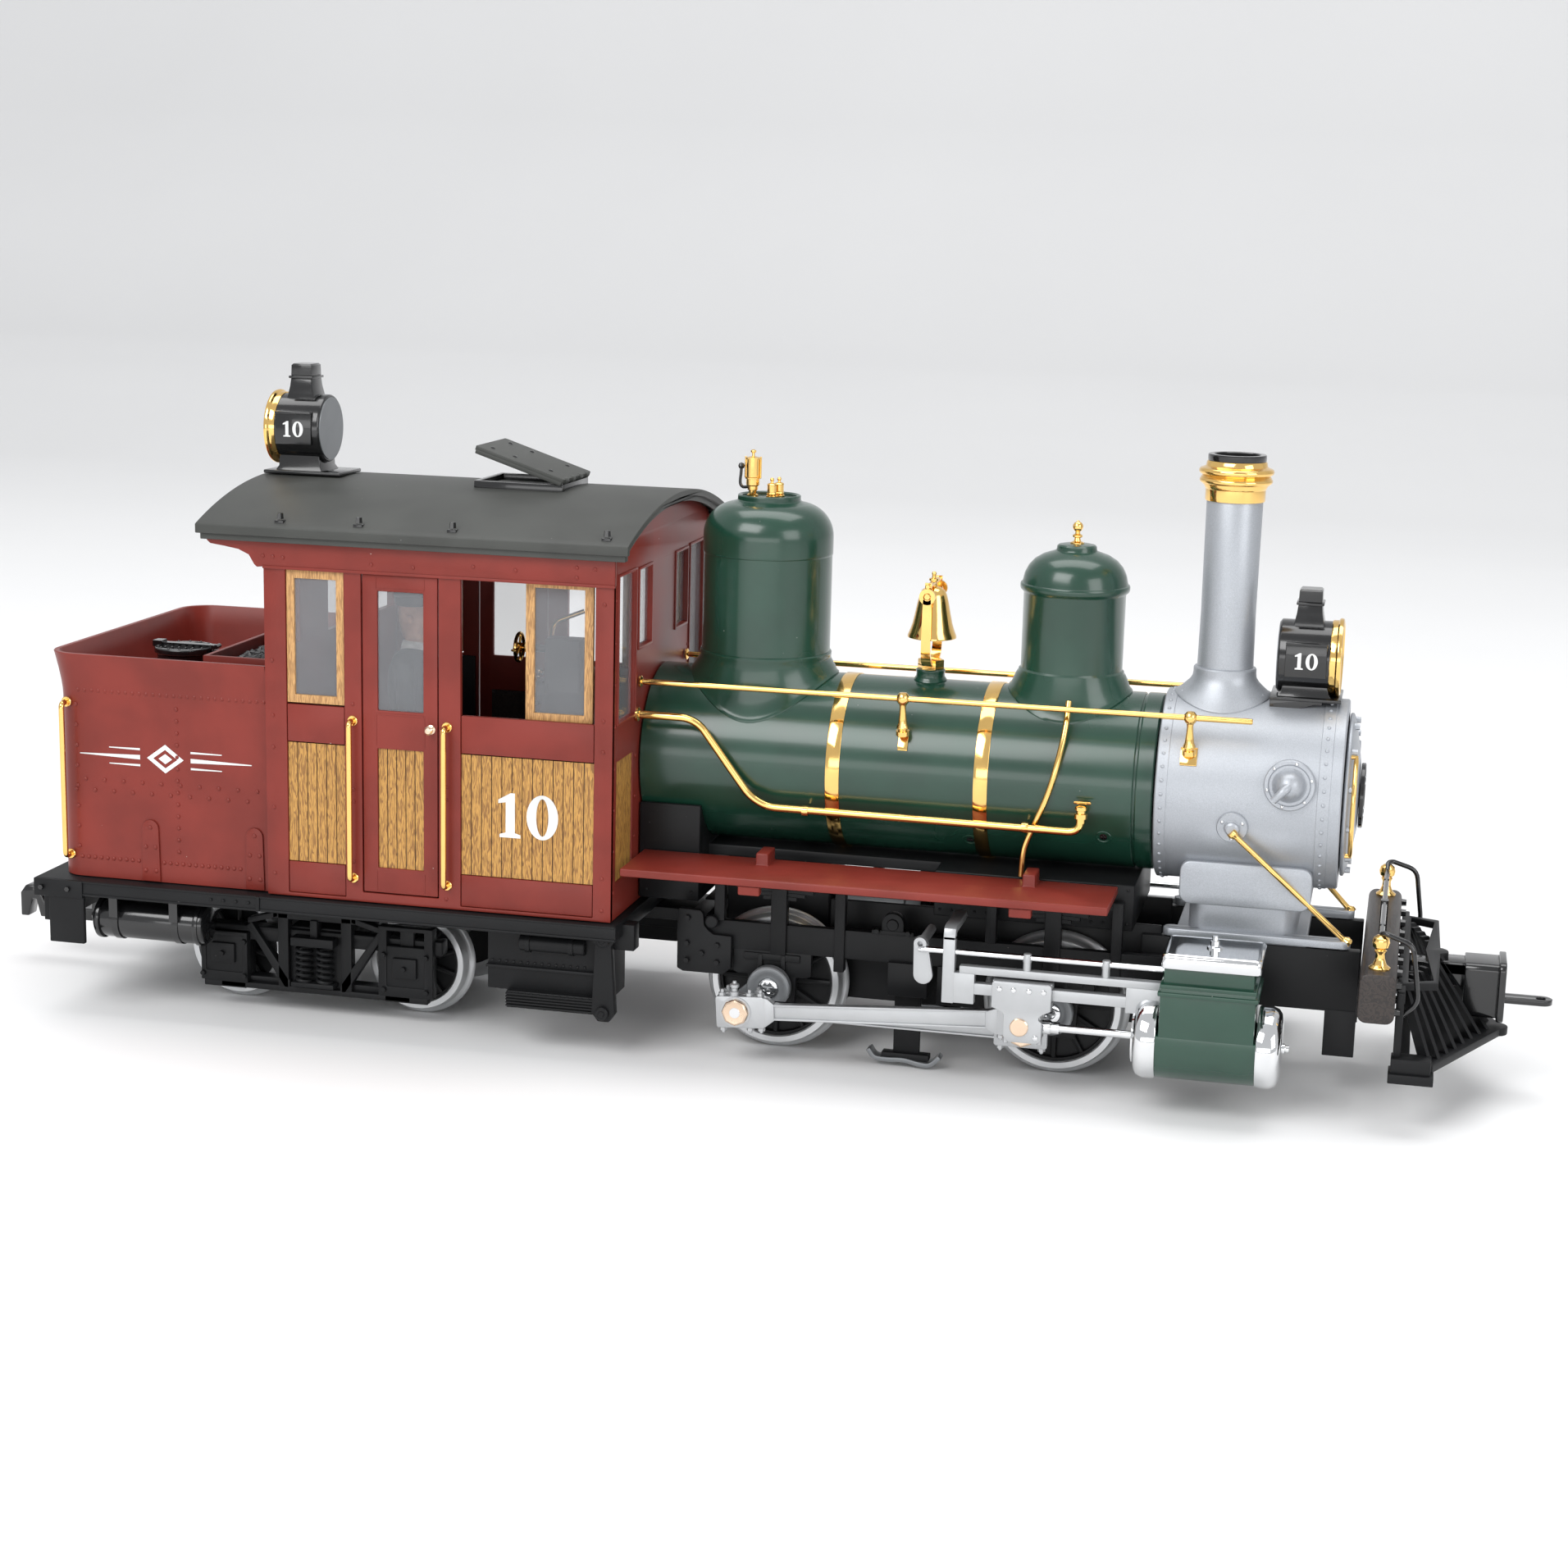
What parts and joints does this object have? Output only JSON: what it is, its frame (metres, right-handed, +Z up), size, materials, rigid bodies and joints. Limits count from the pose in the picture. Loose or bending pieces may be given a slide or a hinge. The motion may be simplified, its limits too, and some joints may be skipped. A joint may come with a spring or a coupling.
{
  "type": "live steam engine",
  "caption": "Large-scale model tank engine for 45 mm track: outside rods and cylinders, wooden cab, rear coal bunker on a swivelling truck, brass fittings.",
  "frame": {"origin": "on the surface it stands on, under the middle of the overall box", "axes": "+X towards the smokebox end, +Y towards the engine's left side, +Z up"},
  "size_m": [0.53, 0.129, 0.2162],
  "materials": {
    "body_red": "satin oxide red",
    "roof_grey": "satin dark grey",
    "frame_black": "satin black",
    "boiler_green": "semi-gloss dark green",
    "smokebox_silver": "satin graphite silver",
    "brass_trim": "polished",
    "rod_steel": "bright satin",
    "wheel_metal": "grey machined tread",
    "chrome_cover": "polished",
    "sash_wood": "light varnished",
    "plank_wood": "brown grained planks",
    "dark_wood": "dark stained",
    "window_glass": "clear",
    "coal": "glossy broken lumps",
    "cloth_blue": "matte painted",
    "skin": "matte painted",
    "white_paint": "matte painted",
    "gauge_face": "satin"
  },
  "bodies": {
    "chassis": {"main_frame": "frame_black", "footplate": "frame_black", "tank_body": "body_red", "coal_load": "coal", "cab_body": "body_red", "cab_roof": "roof_grey", "boiler_barrel": "boiler_green", "firebox_base": "frame_black", "backhead": "frame_black", "driver_figure": "cloth_blue", "smokebox": "smokebox_silver", "smokestack": "smokebox_silver", "steam_dome": "boiler_green", "whistle": "brass_trim", "sand_dome": "boiler_green", "bell_stand": "brass_trim", "front_headlamp": "frame_black", "rear_headlamp": "frame_black", "handrail_right": "brass_trim", "handrail_left": "brass_trim", "running_board_right": "body_red", "running_board_left": "body_red", "water_pipe": "brass_trim", "saddle": "smokebox_silver", "cylinder_right": "boiler_green", "cylinder_left": "boiler_green", "guide_bars_right": "rod_steel", "guide_bars_left": "rod_steel", "front_beam": "dark_wood", "pilot": "frame_black", "coupler_pocket": "frame_black", "gear_case": "frame_black", "motor": "rod_steel", "air_tank_right": "frame_black", "air_tank_left": "frame_black"},
    "rear_drivers": {"driver_wheelset_rear": "wheel_metal"},
    "front_drivers": {"driver_wheelset_front": "wheel_metal"},
    "side_rod_r": {"side_rod_right": "rod_steel"},
    "side_rod_l": {"side_rod_left": "rod_steel"},
    "main_rod_r": {"main_rod_right": "rod_steel"},
    "main_rod_l": {"main_rod_left": "rod_steel"},
    "crosshead_r": {"crosshead_right": "rod_steel"},
    "crosshead_l": {"crosshead_left": "rod_steel"},
    "worm": {"worm_shaft": "brass_trim"},
    "truck": {"truck_frame": "frame_black"},
    "truck_front_axle": {"truck_wheelset_front": "wheel_metal"},
    "truck_rear_axle": {"truck_wheelset_rear": "wheel_metal"},
    "door_r": {"cab_door_right": "body_red"},
    "door_l": {"cab_door_left": "body_red"},
    "sash_r": {"window_sash_right": "sash_wood"},
    "sash_l": {"window_sash_left": "sash_wood"},
    "hatch": {"roof_hatch": "roof_grey"},
    "filler": {"filler_lid": "frame_black"},
    "throttle": {"throttle_wheel": "brass_trim"},
    "bell_body": {"bell": "brass_trim"},
    "smoke_door": {"smokebox_door": "smokebox_silver"},
    "drawbar": {"front_drawbar": "frame_black"},
    "coupler": {"rear_coupler": "frame_black"},
    "shoe_r": {"pickup_shoe_right": "rod_steel"},
    "shoe_l": {"pickup_shoe_left": "rod_steel"}
  },
  "joints": [
    {"name": "rear_driver_spin", "type": "hinge", "parent": "chassis", "child": "rear_drivers", "pos_m": [0.0185, 0, 0.0238], "axis": [0, 1, 0], "continuous": true},
    {"name": "front_driver_spin", "type": "hinge", "parent": "chassis", "child": "front_drivers", "pos_m": [0.1105, 0, 0.0238], "axis": [0, 1, 0], "continuous": true},
    {"name": "side_rod_right_turn", "type": "hinge", "parent": "rear_drivers", "child": "side_rod_r", "pos_m": [0.01047, -0.0416, 0.01818], "axis": [0, 1, 0], "continuous": true},
    {"name": "side_rod_left_turn", "type": "hinge", "parent": "rear_drivers", "child": "side_rod_l", "pos_m": [0.02412, 0.0416, 0.01577], "axis": [0, 1, 0], "continuous": true},
    {"name": "main_rod_right_turn", "type": "hinge", "parent": "rear_drivers", "child": "main_rod_r", "pos_m": [0.01047, -0.0465, 0.01818], "axis": [0, 1, 0], "continuous": true},
    {"name": "main_rod_left_turn", "type": "hinge", "parent": "rear_drivers", "child": "main_rod_l", "pos_m": [0.02412, 0.0465, 0.01577], "axis": [0, 1, 0], "continuous": true},
    {"name": "crosshead_right_slide", "type": "slide", "parent": "chassis", "child": "crosshead_r", "axis": [1, 0, 0], "range_m": [-0.0016, 0.018]},
    {"name": "crosshead_left_slide", "type": "slide", "parent": "chassis", "child": "crosshead_l", "axis": [1, 0, 0], "range_m": [-0.01507, 0.00453]},
    {"name": "worm_spin", "type": "hinge", "parent": "chassis", "child": "worm", "pos_m": [0.016, 0, 0.0394], "axis": [1, 0, 0], "continuous": true},
    {"name": "truck_swivel", "type": "hinge", "parent": "chassis", "child": "truck", "pos_m": [-0.138, 0, 0.03], "axis": [0, 0, 1], "range_deg": [-6, 6]},
    {"name": "truck_front_axle_spin", "type": "hinge", "parent": "truck", "child": "truck_front_axle", "pos_m": [-0.1055, 0, 0.019], "axis": [0, 1, 0], "continuous": true},
    {"name": "truck_rear_axle_spin", "type": "hinge", "parent": "truck", "child": "truck_rear_axle", "pos_m": [-0.1705, 0, 0.019], "axis": [0, 1, 0], "continuous": true},
    {"name": "cab_door_right_hinge", "type": "hinge", "parent": "chassis", "child": "door_r", "pos_m": [-0.1125, -0.0573, 0.1], "axis": [0, 0, -1], "range_deg": [0, 95]},
    {"name": "cab_door_left_hinge", "type": "hinge", "parent": "chassis", "child": "door_l", "pos_m": [-0.1125, 0.0573, 0.1], "axis": [0, 0, 1], "range_deg": [0, 95]},
    {"name": "window_right_slide", "type": "slide", "parent": "chassis", "child": "sash_r", "axis": [-1, 0, 0], "range_m": [0, 0.0205]},
    {"name": "window_left_slide", "type": "slide", "parent": "chassis", "child": "sash_l", "axis": [-1, 0, 0], "range_m": [0, 0.0205]},
    {"name": "roof_hatch_hinge", "type": "hinge", "parent": "chassis", "child": "hatch", "pos_m": [-0.06, 0, 0.182], "axis": [0, 1, 0], "range_deg": [-18, 60]},
    {"name": "filler_lid_hinge", "type": "hinge", "parent": "chassis", "child": "filler", "pos_m": [-0.1849, -0.008, 0.1188], "axis": [0, 1, 0], "range_deg": [0, 95]},
    {"name": "throttle_turn", "type": "hinge", "parent": "chassis", "child": "throttle", "pos_m": [-0.075, -0.012, 0.126], "axis": [1, 0, 0], "range_deg": [0, 270]},
    {"name": "bell_swing", "type": "hinge", "parent": "chassis", "child": "bell_body", "pos_m": [0.0616, 0, 0.1505], "axis": [0, 1, 0], "range_deg": [-30, 30]},
    {"name": "smokebox_door_hinge", "type": "hinge", "parent": "chassis", "child": "smoke_door", "pos_m": [0.1975, 0.028, 0.0936], "axis": [0, 0, 1], "range_deg": [0, 100]},
    {"name": "front_drawbar_swing", "type": "hinge", "parent": "chassis", "child": "drawbar", "pos_m": [0.2425, 0, 0.0312], "axis": [0, 0, 1], "range_deg": [-15, 15]},
    {"name": "rear_coupler_swing", "type": "hinge", "parent": "chassis", "child": "coupler", "pos_m": [-0.2258, 0, 0.024], "axis": [0, 0, 1], "range_deg": [-15, 15]},
    {"name": "pickup_shoe_right_lift", "type": "slide", "parent": "chassis", "child": "shoe_r", "axis": [0, 0, 1], "range_m": [0, 0.0016], "stiffness_N_per_m": 100, "springref_m": -0.002},
    {"name": "pickup_shoe_left_lift", "type": "slide", "parent": "chassis", "child": "shoe_l", "axis": [0, 0, 1], "range_m": [0, 0.0016], "stiffness_N_per_m": 100, "springref_m": -0.002}
  ],
  "couplings": [
    {"joint": "front_driver_spin", "follows": "rear_driver_spin", "ratio": 1},
    {"joint": "side_rod_right_turn", "follows": "rear_driver_spin", "ratio": -1},
    {"joint": "side_rod_left_turn", "follows": "rear_driver_spin", "ratio": -1},
    {"joint": "main_rod_right_turn", "follows": "rear_driver_spin", "ratio": -1},
    {"joint": "main_rod_left_turn", "follows": "rear_driver_spin", "ratio": -1},
    {"joint": "worm_spin", "follows": "rear_driver_spin", "ratio": 20}
  ]
}
